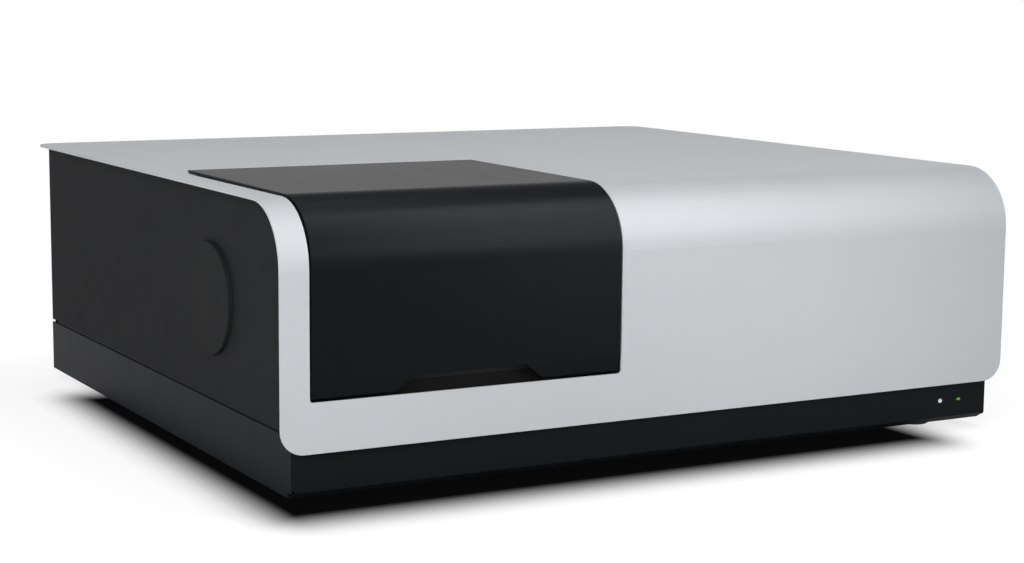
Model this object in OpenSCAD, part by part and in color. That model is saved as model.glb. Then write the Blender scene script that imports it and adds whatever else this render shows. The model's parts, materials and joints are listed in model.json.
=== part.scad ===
// Benchtop fluorometer: bent cover over an optical bench, with a lidded sample chamber,
// two grating monochromators, an arc lamp, a detector and their electronics.
// Millimetres. +Z is up, +X to the right and +Y to the back. The origin is on the table,
// under the middle of the cover.

/* [Cover] */
// Width of the cover
cover_w = 960; // [950:5:1040]
// Depth of the cover from its front face to its rear edge
cover_d = 858; // [850:2:900]
// Height of the cover's top above the table
cover_top = 320; // [315:1:340]
// Thickness of the cover's sheet
cover_t = 3; // [2:0.5:4]
// Outer radius of the bend between the front and the top
bend_r = 70; // [55:1:85]
// Height of the cover's lower front edge
cover_front_z = 60; // [50:1:66]
// Radius of the cover's lower front corners
front_corner_r = 26; // [10:1:32]
// Radius of the cover's rear corners, seen from above
rear_corner_r = 28; // [10:1:40]
// Overhang of the cover past each side panel
side_overhang = 15; // [10:1:18]
// Overhang of the cover past the rear panel
rear_overhang = 18; // [10:1:24]

/* [Base] */
// Height of the feet
foot_h = 12; // [10:1:20]
// Diameter of a foot where it meets the tray
foot_d = 46; // [30:1:60]
// Distance of each foot's centre from the nearest edges of the tray
foot_inset = 62; // [45:1:90]
// Thickness of the tray's and the panels' sheet
sheet_t = 2; // [1.5:0.5:2.5]
// Setback of the tray's front from the cover's face
plinth_back = 10; // [8:1:14]
// Bevel along the tray's lower front edge
bevel = 6; // [4:0.5:8]
// Height of the tray's side skirts above the table
skirt_top = 76.5; // [74:0.5:80]
// Shadow gap between each skirt and the panel above it
groove = 3.5; // [2:0.5:5]
// Diameter of the relief hole at the tray's front corners
relief_d = 3; // [2:0.5:4]
// Diameter of the round indicator
led_d = 5; // [3:0.5:8]
// Width of the arrow indicator
arrow_w = 5.8; // [5:0.2:10]
// Distance of the round indicator from the cover's right edge
led_edge = 86; // [70:1:110]
// Distance between the two indicators
led_pitch = 29; // [20:1:40]
// Height of the indicators below the cover's lower edge
led_drop = 21.5; // [18:0.5:26]

/* [Bench] */
// Height of the pillars under the optical bench
pillar_h = 43; // [40:1:46]
// Diameter of a pillar
pillar_d = 22; // [16:1:30]
// Thickness of the optical bench
bench_t = 15; // [12:1:16]
// Height of the light path above the bench
beam_h = 121; // [118:1:124]

/* [Sample chamber] */
// Distance from the cover's left edge to the lid
lid_margin = 34.5; // [30:0.5:40]
// Width of the lid
lid_w = 370.5; // [360:0.5:376]
// Depth of the lid from the cover's face to its rear edge
lid_d = 356; // [354:1:368]
// Height of the lid's top above the cover's, just behind the bend
lid_proud = 2.5; // [0.5:0.5:3]
// Rise of the lid's top from the bend to its rear edge
lid_rise = 1.2; // [0:0.2:3]
// Thickness of the lid's shell
lid_t = 3; // [2.5:0.5:4]
// Gap between the lid and the sides of its opening
lid_gap = 2; // [1:0.5:3]
// Height of cover left under the lid
sill_h = 53.6; // [48:0.2:60]
// Height of the lid's tucked-in lip
lip_h = 17.2; // [12:0.2:22]
// Depth by which the lip is tucked in
lip_in = 10; // [6:0.5:12]
// Width of the finger recess at the top of the lip
recess_w = 132; // [100:1:160]
// Slope of the recess: how much farther each end reaches at the lip's bottom
recess_slope = 24; // [10:1:34]
// Depth of the lid's side walls
lid_skirt = 26; // [18:1:30]
// Thickness of the chamber's walls
well_t = 6; // [5:1:8]
// Thickness of the foam light seal, up to the lid
seal_t = 8.7; // [6:0.1:10]
// Diameter of the light ports in the chamber's walls
port_d = 50; // [40:1:56]
// Distance of the light path from the cover's front face
beam_back = 230; // [224:1:236]

/* [Lid hinge] */
// Distance of the hinge line behind the lid's rear edge
pivot_back = 22; // [20:0.5:26]
// Depth of the hinge line below the cover's top
pivot_drop = 20; // [18:0.5:23]
// Diameter of the hinge shaft
shaft_d = 8; // [6:0.5:10]
// Radial clearance of a turning shaft in its bore
run_fit = 0.05; // [0.02:0.01:0.08]
// Width of a hinge arm
arm_w = 12; // [8:1:16]
// Thickness of a hinge arm
arm_t = 12; // [10:0.5:13]
// Thickness of the hinge bracket's sheet
bracket_t = 3; // [2:0.5:4]

/* [Side port] */
// Diameter of the port cover's face
disc_d = 127; // [120:1:134]
// Thickness of the port cover's face
disc_t = 6; // [4:0.5:8]
// Diameter of the port cover's plug
plug_d = 100; // [80:1:108]
// Length of the port cover's plug
plug_l = 14; // [10:1:18]

/* [Sample module] */
// Size of a cuvette, square
cuvette_w = 12.5; // [12:0.5:13]
// Height of a cuvette
cuvette_h = 45; // [40:1:50]
// Width of the module's plate
module_w = 280; // [260:1:300]
// Depth of the module's plate
module_d = 220; // [214:1:224]
// Thickness of the module's plate
module_t = 8; // [6:1:10]
// Diameter of the dowels that locate the module
dowel_d = 8; // [6:1:10]
// Width of the cuvette holder's column
holder_w = 42; // [38:1:50]
// Diameter of a condenser lens
lens_d = 38; // [30:1:42]
// Distance of a condenser lens from the cuvette
lens_reach = 56; // [52:1:58]

/* [Monochromators] */
// Wall of the monochromators' castings
mono_t = 8; // [6:1:10]
// Height of the monochromators' castings
mono_h = 198; // [190:1:204]
// Thickness of the monochromators' lids
mono_lid_t = 5; // [3:0.5:6]
// Depth of the excitation monochromator
ex_d = 390; // [380:1:394]
// Width of the emission monochromator
em_w = 300; // [290:1:306]
// Depth of the emission monochromator
em_d = 290; // [284:1:300]
// Diameter of a round mirror
mirror_d = 56; // [46:1:60]
// Width of a square grating
grating_w = 50; // [40:1:54]
// Diameter of the grating turret's discs
turret_d = 96; // [90:1:100]
// Diameter of a turret's shaft
turret_shaft_d = 12; // [8:1:14]
// Diameter of a filter wheel
wheel_d = 104; // [98:1:108]
// Diameter of a filter
filter_d = 24; // [18:1:26]
// Height of a spectral slit
slit_h = 12; // [8:1:16]

/* [Lamp and rear] */
// Width of the lamp housing
lamp_w = 140; // [130:1:146]
// Length of the lamp housing
lamp_l = 180; // [170:1:190]
// Outer diameter of the lamp's reflector
reflector_d = 110; // [96:1:116]
// Width of the exhaust fan, square
fan_w = 120; // [110:1:124]
// Depth of the exhaust fan
fan_t = 25; // [20:1:30]
// Height of the row of sockets above the table
socket_z = 80; // [76:1:84]
// Depth of a power supply
supply_d = 220; // [180:5:226]
// Height of a power supply
supply_h = 110; // [90:5:120]
// Gap between the two power supplies
supply_gap = 20; // [10:1:30]
// Clearance between the power supplies and the lamp housing
supply_to_lamp = 55; // [40:1:70]
// Depth of the control board
board_d = 105; // [90:5:120]
// Clearance between the control board and the rear panel
board_to_rear = 20; // [16:1:30]

/* [Hidden] */
$fn = 64;
// Seat between faces of one body, and clearance between bodies that move
seat = 0.2;
clear = 0.3;
// Outer faces
front_y = -cover_d / 2;
rear_y = cover_d / 2;
side_x = cover_w / 2 - side_overhang;
rear_panel_y = rear_y - rear_overhang;
panel_end_y = rear_panel_y + 5;
plinth_y = front_y + plinth_back;
floor_z = foot_h + sheet_t;
panel_z = skirt_top + groove;
led_x = cover_w / 2 - led_edge;
led_z = cover_front_z - led_drop;
// Bench and light path
bench_under = floor_z + pillar_h;
bench_z = bench_under + bench_t;
bench_x = side_x - 20;
bench_y0 = front_y + 14;
bench_y1 = rear_panel_y - 100;
beam_z = bench_z + beam_h;
beam_y = front_y + beam_back;
// Lid and its opening
lid_x0 = -cover_w / 2 + lid_margin;
lid_x1 = lid_x0 + lid_w;
lid_x = (lid_x0 + lid_x1) / 2;
lid_y1 = front_y + lid_d;
lid_top = cover_top + lid_proud;
cut_z = cover_front_z + sill_h;
lip_z = cut_z + clear + 2.5;
kink_z = lip_z + lip_h;
rear_gap = 3;
lid_climb = lid_rise / (lid_d - bend_r);
// Hinge
pivot_y = lid_y1 + pivot_back;
pivot_z = cover_top - pivot_drop;
arm_in_r = norm([pivot_back - rear_gap, pivot_drop]) + 3.4;
arm_out_r = arm_in_r + arm_t;
hub_r = shaft_d / 2 + 8;
arm_inset = lid_t + 10;
arm_xs = [lid_x0 + arm_inset, lid_x1 - arm_inset - arm_w];
bracket_y = pivot_y + hub_r + 4;
// Chamber
well_x0 = lid_x0 + lid_t + 4.5;
well_x1 = lid_x1 - lid_t - 4.5;
well_y0 = front_y + lip_in + lid_t + 5;
well_y1 = pivot_y - arm_out_r - 7;
well_floor_z = bench_z + well_t;
well_front_z = lip_z + 9;
seal_in = lid_t + clear;
rim_in = seal_in + seal_t + clear;
magnet_l = 8;
dowel_h = module_t + clear + 1.5;
seal_z = lid_top + lid_climb * (well_y1 - well_t - front_y - bend_r);
// Sample module
module_z = well_floor_z + clear;
module_top = module_z + module_t;
module_y0 = beam_y - 140;
dowel_xs = [lid_x - module_w / 2 + 20, lid_x + module_w / 2 - 20];
dowel_y = module_y0 + 24;
cuvette_z = beam_z - 15;
cuvette_gap = 0.3;
holder_top = cuvette_z + cuvette_h - 10;
ring_d = lens_d + 12;
ring_t = 14;
// Excitation monochromator
ex_x0 = lid_x1 + 15;
ex_x1 = side_x - 25;
ex_y0 = front_y + 40;
ex_y1 = ex_y0 + ex_d;
mono_top = bench_z + mono_h;
mono_floor = bench_z + mono_t;
lamp_x = ex_x1 - 75;
shutter_x = ex_x0 + mono_t + 8;
ex_wheel_x = ex_x0 + 36;
ex_entry = [lamp_x, ex_y1];
ex_collimator = [lamp_x, ex_y0 + mono_t + 30];
ex_focuser = [ex_x0 + 165, ex_y0 + mono_t + 30];
ex_grating = [(ex_collimator[0] + ex_focuser[0]) / 2, ex_y0 + 300];
ex_fold = [ex_focuser[0], beam_y];
// Emission monochromator
em_x0 = lid_x - em_w * 0.6;
em_x1 = em_x0 + em_w;
em_y0 = bracket_y + 12;
em_y1 = em_y0 + em_d;
em_entry = [lid_x, em_y0];
em_wheel_y = em_y0 + 22;
em_collimator = [lid_x, em_y1 - mono_t - 30];
em_focuser = [lid_x - 130, em_y1 - mono_t - 30];
em_grating = [lid_x - 72, em_y0 + 86];
em_fold = [em_focuser[0], em_y0 + 170];
// Parts shared by both
mount_t = 10;
mirror_t = 10;
turret_z = beam_z - grating_w / 2 - 4;
turret_top = beam_z + grating_w / 2 + 4;
wheel_t = 6;
filter_ring_r = wheel_d / 2 - filter_d / 2 - 5;
wheel_z = beam_z - filter_ring_r;
wheel_shaft_d = 6;
motor_w = 30;
drive_w = 42;
// Lamp, rear panel and electronics
lamp_y0 = ex_y1 + 14;
lamp_y1 = lamp_y0 + lamp_l;
lamp_t = 3;
fan_y1 = rear_panel_y - sheet_t;
fan_y0 = fan_y1 - fan_t;
duct_y0 = lamp_y1;
board_y0 = rear_panel_y - board_to_rear - board_d;
supply_x0 = lid_x1 + 35;
supply_y0 = board_y0 - 35 - supply_d;
supply_w = (lamp_x - lamp_w / 2 - supply_to_lamp - supply_gap - supply_x0) / 2;
supply_x1 = supply_x0 + 2 * supply_w + supply_gap;

// Outlines

// Side view of all that lies under the hood, moved in by inset. Behind the bend, the lid's own
// surface climbs towards its rear edge.
module hood(inset, z0, y1, top = cover_top, climb = 0) {
    r = bend_r - inset;
    y0 = front_y + inset;
    z1 = top - inset;
    y2 = front_y + bend_r;
    difference() {
        translate([y0, z0]) square([y1 - y0, z1 - z0]);
        translate([y0, z1 - r]) difference() {
            translate([-1, 0]) square([r + 1, r + 1]);
            translate([r, 0]) circle(r, $fn = 128);
        }
    }
    if (climb > 0) polygon([[y2, z1 - 1], [y1, z1 - 1], [y1, z1 + climb * (y1 - y2)], [y2, z1]]);
}
// Band of the hood's side view between two insets
module hood_band(outer, inner, z0, y1, top = cover_top, climb = 0) difference() {
    hood(outer, z0, y1, top, climb);
    hood(inner, z0 - 1, y1 + 1, top, climb);
}
// The same two for surfaces that follow the lid
module lid_hood(inset, z0, y1) hood(inset, z0, y1, lid_top, lid_climb);
module lid_band(outer, inner, z0, y1) hood_band(outer, inner, z0, y1, lid_top, lid_climb);
// A side view, (y, z), extruded along X
module across(x0, x1) translate([x0, 0, 0]) rotate([90, 0, 90]) linear_extrude(x1 - x0) children();
// A front view, (x, z), extruded along Y
module along(y0, y1) translate([0, y1, 0]) rotate([90, 0, 0]) linear_extrude(y1 - y0) children();
// A plan, (x, y), extruded along Z
module rise(z0, z1) translate([0, 0, z0]) linear_extrude(z1 - z0) children();
// A box between two corners
module block(a, b) translate(a) cube(b - a);
// Round bars along each axis, centred on a point of their first face
module bar_x(p, d, l) translate(p) rotate([0, 90, 0]) cylinder(d = d, h = l);
module bar_y(p, d, l) translate(p) rotate([-90, 0, 0]) cylinder(d = d, h = l);
module bar_z(p, d, l) translate(p) cylinder(d = d, h = l);
// Rectangle with rounded corners
module rounded(size, r) {
    translate([r, 0]) square([size[0] - 2 * r, size[1]]);
    translate([0, r]) square([size[0], size[1] - 2 * r]);
    for (x = [r, size[0] - r], y = [r, size[1] - r]) translate([x, y]) circle(r);
}
// Direction, in degrees, halfway between the ways from p to a and from p to b
function unit(v) = v / norm(v);
function halfway(p, a, b) = let (v = unit(a - p) + unit(b - p)) atan2(v[1], v[0]);

// Shell

module front_outline() {
    r = front_corner_r;
    translate([-cover_w / 2 + r, cover_front_z]) square([cover_w - 2 * r, cover_top]);
    translate([-cover_w / 2, cover_front_z + r]) square([cover_w, cover_top]);
    for (s = [-1, 1]) translate([s * (cover_w / 2 - r), cover_front_z + r]) circle(r);
}
module plan_outline() {
    r = rear_corner_r;
    translate([-cover_w / 2, front_y - 1]) square([cover_w, cover_d + 1 - r]);
    translate([-cover_w / 2 + r, front_y - 1]) square([cover_w - 2 * r, cover_d + 1]);
    for (s = [-1, 1]) translate([s * (cover_w / 2 - r), rear_y - r]) circle(r);
}
module lid_opening() {
    r = 4;
    x0 = lid_x0 - lid_gap;
    x1 = lid_x1 + lid_gap;
    along(front_y - 1, lid_y1 + rear_gap) {
        translate([x0, cut_z + r]) square([x1 - x0, cover_top]);
        translate([x0 + r, cut_z]) square([x1 - x0 - 2 * r, cover_top]);
        for (x = [x0 + r, x1 - r]) translate([x, cut_z + r]) circle(r);
    }
}
module top_cover() color([0.76, 0.77, 0.79]) difference() {
    intersection() {
        across(-cover_w / 2, cover_w / 2) hood_band(0, cover_t, cover_front_z, rear_y);
        along(front_y - 1, rear_y + 1) front_outline();
        rise(0, cover_top + 1) plan_outline();
    }
    lid_opening();
}
// Left panel: a sheet that follows the hood, with a flange turned in under it
module side_sheet() {
    inset = cover_t + seat;
    flange_w = 12;
    across(-side_x, -side_x + sheet_t) hood(inset, panel_z, panel_end_y);
    across(-side_x, -side_x + flange_w) hood_band(inset, inset + sheet_t, panel_z, rear_panel_y - 14);
    block([-side_x, rear_panel_y - 12, panel_z], [-side_x + flange_w, rear_panel_y - sheet_t - seat, cover_top - 20]);
}
module left_side_panel() color([0.16, 0.17, 0.18]) difference() {
    side_sheet();
    bar_x([-side_x - 1, beam_y, beam_z], plug_d + 2 * clear, sheet_t + 2);
}
module right_side_panel() color([0.16, 0.17, 0.18]) mirror([1, 0, 0]) side_sheet();
// Front of the tray: a bevelled sheet
module plinth_outline() {
    y = plinth_y;
    z = foot_h;
    k = sheet_t * tan(22.5);
    top = cover_front_z + 16;
    polygon([
        [y + bevel, z], [y, z + bevel], [y, top], [y + sheet_t, top],
        [y + sheet_t, z + bevel + k], [y + bevel + k, z + sheet_t], [y + bevel + 2 * sheet_t, z + sheet_t],
        [y + bevel + 2 * sheet_t, z]
    ]);
}
module base_tray() color([0.11, 0.12, 0.13]) difference() {
    tab = 12;
    union() {
        block([-side_x, plinth_y + bevel, foot_h], [side_x, panel_end_y, floor_z]);
        across(-side_x, side_x) plinth_outline();
        for (s = [0, 1]) mirror([s, 0, 0]) {
            block([-side_x, plinth_y, foot_h], [-side_x + sheet_t, panel_end_y, skirt_top]);
            block([-side_x + sheet_t, plinth_y, skirt_top - tab], [-side_x + 2 * sheet_t, rear_panel_y - 14, panel_z + tab]);
        }
        block([-side_x + sheet_t, rear_panel_y - 2 * sheet_t, foot_h], [side_x - sheet_t, rear_panel_y - sheet_t, 60]);
    }
    for (s = [-1, 1]) {
        translate([s * side_x, plinth_y - 1, foot_h]) rotate([0, 45, 0])
            cube([1.4 * bevel, 2 * (bevel + sheet_t + 2), 1.4 * bevel], center = true);
        bar_y([s * (side_x - relief_d / 2 - 1), plinth_y - 1, foot_h + bevel + 1], relief_d, sheet_t + 2);
        for (y = [supply_y0 : 18 : supply_y0 + supply_d - 18])
            block([s * 300 - 60, y, foot_h - 1], [s * 300 + 60, y + 5, floor_z + 1]);
    }
    bar_y([led_x, plinth_y - 1, led_z], led_d + 2 * seat, sheet_t + 2);
    along(plinth_y - 1, plinth_y + sheet_t + 1) arrow_outline(seat);
}
// Arrow that points to the right: a shaft and a head
module arrow_outline(grow) {
    head = arrow_w * 0.45;
    translate([led_x + led_pitch, led_z]) {
        translate([-arrow_w / 2 - grow, -0.7 - grow]) square([arrow_w - head + 2 * grow, 1.4 + 2 * grow]);
        polygon([
            [arrow_w / 2 - head - grow, -head * 0.7 - 2 * grow], [arrow_w / 2 + 2 * grow, 0],
            [arrow_w / 2 - head - grow, head * 0.7 + 2 * grow]
        ]);
    }
}
module status_light() color([0.95, 0.96, 0.97]) {
    bar_y([led_x, plinth_y - 0.8, led_z], led_d, sheet_t + 0.8);
    bar_y([led_x, plinth_y + sheet_t, led_z], led_d + 3, 8);
}
module power_arrow() color([0.45, 0.75, 0.2]) {
    along(plinth_y - 0.8, plinth_y + sheet_t) arrow_outline(0);
    translate([led_x + led_pitch - 6, plinth_y + sheet_t, led_z - 5]) cube([12, 8, 10]);
}
module feet() color([0.07, 0.07, 0.07]) {
    for (x = [-side_x + foot_inset, side_x - foot_inset], y = [plinth_y + foot_inset, panel_end_y - foot_inset])
        translate([x, y, 0]) rotate_extrude() polygon([
            [4, 3], [foot_d / 2 - 8, 3], [foot_d / 2 - 7, 0], [foot_d / 2 - 4, 0],
            [foot_d / 2 - 2, 1.5], [foot_d / 2, foot_h], [4, foot_h]
        ]);
}

// Lid and hinge

// Side view of the lid's shell: hood, then the lip tucked in under the kink
module lid_skin() {
    y = front_y;
    lid_band(0, lid_t, kink_z, lid_y1);
    polygon([
        [y, kink_z], [y + lip_in, lip_z], [y + lip_in + lid_t, lip_z], [y + lid_t, kink_z]
    ]);
}
module finger_recess() {
    top = recess_w / 2;
    low = top + recess_slope;
    along(front_y - 1, front_y + lip_in + lid_t + 1) polygon([
        [lid_x - low, lip_z - 1], [lid_x - top, kink_z], [lid_x + top, kink_z], [lid_x + low, lip_z - 1]
    ]);
}
module sample_lid() color([0.10, 0.11, 0.12]) difference() {
    wall_end = lid_y1 - 30;
    union() {
        across(lid_x0, lid_x1) lid_skin();
        for (x = [lid_x0, lid_x1 - lid_t]) across(x, x + lid_t) difference() {
            lid_band(lid_t - 0.1, lid_skirt, kink_z, wall_end);
            translate([wall_end - 2 * lid_skirt, lid_top - lid_skirt]) rotate(-45)
                translate([0, -2 * lid_skirt]) square([2.9 * lid_skirt, 2 * lid_skirt]);
        }
        for (x = [lid_x - 60, lid_x + 60]) across(x - 2, x + 2)
            lid_band(lid_t - 0.1, seal_in + 4, kink_z, well_y1 - well_t - 2);
    }
    finger_recess();
}
module lid_seal() color([0.05, 0.05, 0.05]) {
    w = well_t - 1;
    outer = seal_in;
    inner = seal_in + seal_t;
    for (x = [well_x0 + 0.5, well_x1 - 0.5 - w]) across(x, x + w)
        lid_band(outer, inner, well_front_z + 8, well_y1);
    block([well_x0 + w + 0.5, well_y1 - w - 0.5, seal_z - inner], [well_x1 - w - 0.5, well_y1 - 0.5, seal_z - outer]);
    block([well_x0 + 8, well_y0, well_front_z], [well_x1 - 8, well_y0 + w, well_front_z + 6]);
}
// Side view of a gooseneck arm, which reaches round the cover's edge when the lid opens
module arm_outline() {
    pad_y = well_y1 + 2;
    intersection() {
        translate([pivot_y, pivot_z]) difference() {
            union() {
                circle(hub_r);
                difference() {
                    union() {
                        circle(arm_out_r);
                        translate([pad_y - pivot_y, 8]) square([arm_out_r, arm_out_r]);
                    }
                    circle(arm_in_r);
                    rotate(-26) square([2 * arm_out_r, 2 * arm_out_r]);
                    translate([-pivot_back, 0]) square([3 * arm_out_r, 2 * arm_out_r]);
                    rotate(238 - 180) translate([-2 * arm_out_r, -2 * arm_out_r]) square([4 * arm_out_r, 2 * arm_out_r]);
                }
                rotate(235) translate([0, -5]) square([arm_in_r + 4, 10]);
            }
            circle(d = shaft_d);
        }
        lid_hood(lid_t, 0, pivot_y + 2 * arm_out_r);
    }
}
module lid_hinge_arms() color([0.55, 0.56, 0.58])
    for (x = arm_xs) across(x, x + arm_w) arm_outline();
module lid_hinge_shaft() color([0.75, 0.76, 0.78])
    bar_x([well_x0 - 3, pivot_y, pivot_z], shaft_d, well_x1 - well_x0 + 6);
// Bracket across the back of the chamber, with an ear at each end for the shaft
module lid_hinge_bracket() color([0.30, 0.31, 0.33]) difference() {
    top = pivot_z + 12;
    union() {
        block([well_x0 - 2, bracket_y, bench_z], [well_x1 + 2, bracket_y + bracket_t, top]);
        block([well_x0 - 2, bracket_y - 18, bench_z], [well_x1 + 2, bracket_y, bench_z + bracket_t]);
        for (x = [well_x0 - 2, well_x1 + 2 - bracket_t]) across(x, x + bracket_t) {
            translate([pivot_y, pivot_z]) circle(11);
            translate([pivot_y, pivot_z - 11]) square([bracket_y - pivot_y, 22]);
            polygon([[bracket_y - 20, pivot_z - 11], [bracket_y, pivot_z - 40], [bracket_y, pivot_z - 11]]);
        }
    }
    bar_x([well_x0 - 5, pivot_y, pivot_z], shaft_d + 2 * run_fit, well_x1 - well_x0 + 10);
    bar_y([lid_x, bracket_y - 1, beam_z], port_d, bracket_t + 2);
}
magnet_z = kink_z + 18;
module lid_magnets() color([0.6, 0.6, 0.62])
    for (x = [well_x0 + well_t + 9, well_x1 - well_t - 9]) bar_y([x, front_y + lid_t, magnet_z], 12, magnet_l);

// Side port

module side_port_cover() color([0.13, 0.14, 0.15])
    translate([-side_x, beam_y, beam_z]) rotate([0, 90, 0]) rotate_extrude($fn = 128) {
        edge = 1;
        polygon([
            [0, -disc_t], [disc_d / 2 - edge, -disc_t], [disc_d / 2, -disc_t + edge], [disc_d / 2, -clear],
            [plug_d / 2, -clear], [plug_d / 2, plug_l - edge], [plug_d / 2 - edge, plug_l],
            [plug_d / 2 - 6, plug_l], [plug_d / 2 - 6, 0], [0, 0]
        ]);
    }
module side_port_ring() color([0.5, 0.51, 0.53])
    translate([-side_x + sheet_t, beam_y, beam_z]) rotate([0, 90, 0]) difference() {
        cylinder(d = disc_d, h = 8);
        translate([0, 0, -1]) cylinder(d = plug_d + 2 * clear, h = 10);
        for (a = [45 : 90 : 315]) rotate(a) translate([(disc_d + plug_d) / 4, 0, -1]) cylinder(d = 4, h = 10);
    }

// Bench and chamber

// The bench is cut away at the back, between the emission side and the lamp, for the supplies
module optical_bench() color([0.62, 0.63, 0.65]) difference() {
    block([-bench_x, bench_y0, bench_under], [bench_x, bench_y1, bench_z]);
    block([supply_x0 - 10, ex_y1 + 8, bench_under - 1], [supply_x1 + supply_to_lamp - 8, bench_y1 + 1, bench_z + 1]);
    for (p = [ex_grating, em_grating]) bar_z([p[0], p[1], bench_under - 1], turret_shaft_d + 2, bench_t + 2);
}
module bench_pillars() color([0.45, 0.46, 0.48])
    for (x = [-bench_x + 25, bench_x - 25], y = [bench_y0 + 130, bench_y0 + 400, bench_y1 - 30])
        bar_z([x, y, floor_z], pillar_d, pillar_h);
// Walls of the chamber follow the lid's curve, at the depth of the seal
module sample_chamber() color([0.08, 0.08, 0.09]) difference() {
    split_z = well_front_z + 8;
    catch_y = front_y + lid_t + magnet_l + clear;
    union() {
        block([well_x0, well_y0, bench_z], [well_x1, well_y1, well_floor_z]);
        for (x = [well_x0, well_x1 - well_t]) across(x, x + well_t) intersection() {
            lid_hood(rim_in, bench_z, well_y1);
            translate([well_y0, bench_z]) square([well_y1 - well_y0, split_z - bench_z]);
        }
        for (x = [well_x0, well_x1 - well_t]) across(x, x + well_t)
            lid_hood(rim_in, split_z, well_y1);
        block([well_x0, well_y1 - well_t, bench_z], [well_x1, well_y1, seal_z - rim_in]);
        block([well_x0, well_y0, bench_z], [well_x1, well_y0 + well_t, well_front_z]);
        for (x = [well_x0 + well_t, well_x1 - well_t - 18])
            block([x - 0.3, catch_y, magnet_z - 9], [x + 18.3, front_y + rim_in + 3, magnet_z + 9]);
        for (x = dowel_xs) bar_z([x, dowel_y, well_floor_z], dowel_d, dowel_h);
    }
    bar_x([well_x0 - 1, beam_y, beam_z], port_d + 14, well_t + 2);
    bar_x([well_x1 - well_t - 1, beam_y, beam_z], port_d, well_t + 2);
    bar_y([lid_x, well_y1 - well_t - 1, beam_z], port_d, well_t + 2);
}

// Sample module, lifted out by its handle

module sample_module() color([0.14, 0.14, 0.15]) difference() {
    rise(module_z, module_top) translate([lid_x - module_w / 2, module_y0]) rounded([module_w, module_d], 10);
    for (x = dowel_xs) bar_z([x, dowel_y, module_z - 1], dowel_d + 2 * run_fit, module_t + 2);
}
module module_handle() color([0.7, 0.71, 0.73]) {
    w = 110;
    d = 10;
    r = 14;
    h = 60;
    y = module_y0 + 40;
    for (s = [-1, 1]) {
        bar_z([lid_x + s * w / 2, y, module_top], d, h - r);
        bar_z([lid_x + s * w / 2, y, module_top], d + 8, 4);
    }
    for (s = [0, 1]) translate([lid_x, y, module_top + h - r]) mirror([s, 0, 0])
        translate([w / 2 - r, 0, 0]) rotate([90, 0, 0]) rotate_extrude(angle = 90) translate([r, 0]) circle(d = d);
    bar_x([lid_x - w / 2 + r, y, module_top + h], d, w - 2 * r);
}
module cuvette_holder() color([0.12, 0.12, 0.13]) difference() {
    w = cuvette_w + 2 * cuvette_gap;
    union() {
        translate([lid_x, beam_y, module_top]) cylinder(d = holder_w + 26, h = 12);
        rise(module_top, holder_top) translate([lid_x - holder_w / 2, beam_y - holder_w / 2]) rounded([holder_w, holder_w], 4);
    }
    translate([lid_x - w / 2, beam_y - w / 2, cuvette_z]) cube([w, w, cuvette_h]);
    bar_x([lid_x - holder_w, beam_y, beam_z], 12, 2 * holder_w);
    bar_y([lid_x, beam_y - holder_w, beam_z], 12, 2 * holder_w);
}
module cuvette() color([0.8, 0.9, 0.95, 0.4]) difference() {
    z = cuvette_z + clear;
    translate([lid_x - cuvette_w / 2, beam_y - cuvette_w / 2, z]) cube([cuvette_w, cuvette_w, cuvette_h]);
    translate([lid_x - cuvette_w / 2 + 1.25, beam_y - cuvette_w / 2 + 1.25, z + 1.25])
        cube([cuvette_w - 2.5, cuvette_w - 2.5, cuvette_h]);
}
module cuvette_stopper() color([0.9, 0.9, 0.9]) {
    z = cuvette_z + clear + cuvette_h;
    translate([lid_x - cuvette_w / 2, beam_y - cuvette_w / 2, z]) cube([cuvette_w, cuvette_w, 4]);
    bar_z([lid_x, beam_y, z - 5], cuvette_w - 3, 5);
}
// A round lens in a ring on a post, facing the cuvette: turn 0 is towards +X, 90 towards +Y
module lens_ring(turn) translate([lid_x, beam_y, 0]) rotate(turn) difference() {
    union() {
        bar_x([lens_reach, 0, beam_z], ring_d, ring_t);
        block([lens_reach, -9, module_top], [lens_reach + ring_t, 9, beam_z - lens_d / 2 - 2]);
        block([lens_reach - 6, -16, module_top], [lens_reach + ring_t + 6, 16, module_top + 6]);
    }
    bar_x([lens_reach - 1, 0, beam_z], lens_d, ring_t + 2);
}
module lens_mounts() color([0.15, 0.15, 0.16]) for (turn = [0, 90]) lens_ring(turn);
module condenser_lenses() color([0.8, 0.88, 0.95, 0.5]) for (turn = [0, 90])
    translate([lid_x, beam_y, beam_z]) rotate(turn) translate([lens_reach + 2, 0, 0]) rotate([0, 90, 0])
        rotate_extrude() intersection() {
            square([lens_d / 2 - clear / 2, 10]);
            translate([0, 45]) circle(45, $fn = 180);
            translate([0, -35]) circle(45, $fn = 180);
        }

// Monochromator parts

// Open casting of a monochromator
module casting(x0, y0, x1, y1) difference() {
    block([x0, y0, bench_z], [x1, y1, mono_top]);
    block([x0 + mono_t, y0 + mono_t, mono_floor], [x1 - mono_t, y1 - mono_t, mono_top + 1]);
}
module casting_lid(x0, y0, x1, y1) {
    block([x0, y0, mono_top], [x1, y1, mono_top + mono_lid_t]);
    for (x = [x0 + 14, x1 - 14], y = [y0 + 14, (y0 + y1) / 2, y1 - 14]) bar_z([x, y, mono_top + mono_lid_t], 7, 3);
}
// Mirror disc at p, facing the direction halfway between a and b
module mirror_disc(p, a, b) translate([p[0], p[1], beam_z]) rotate(halfway(p, a, b))
    rotate([0, -90, 0]) difference() {
        cylinder(d = mirror_d, h = mirror_t);
        translate([0, 0, -198.5]) sphere(200, $fn = 180);
    }
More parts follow.
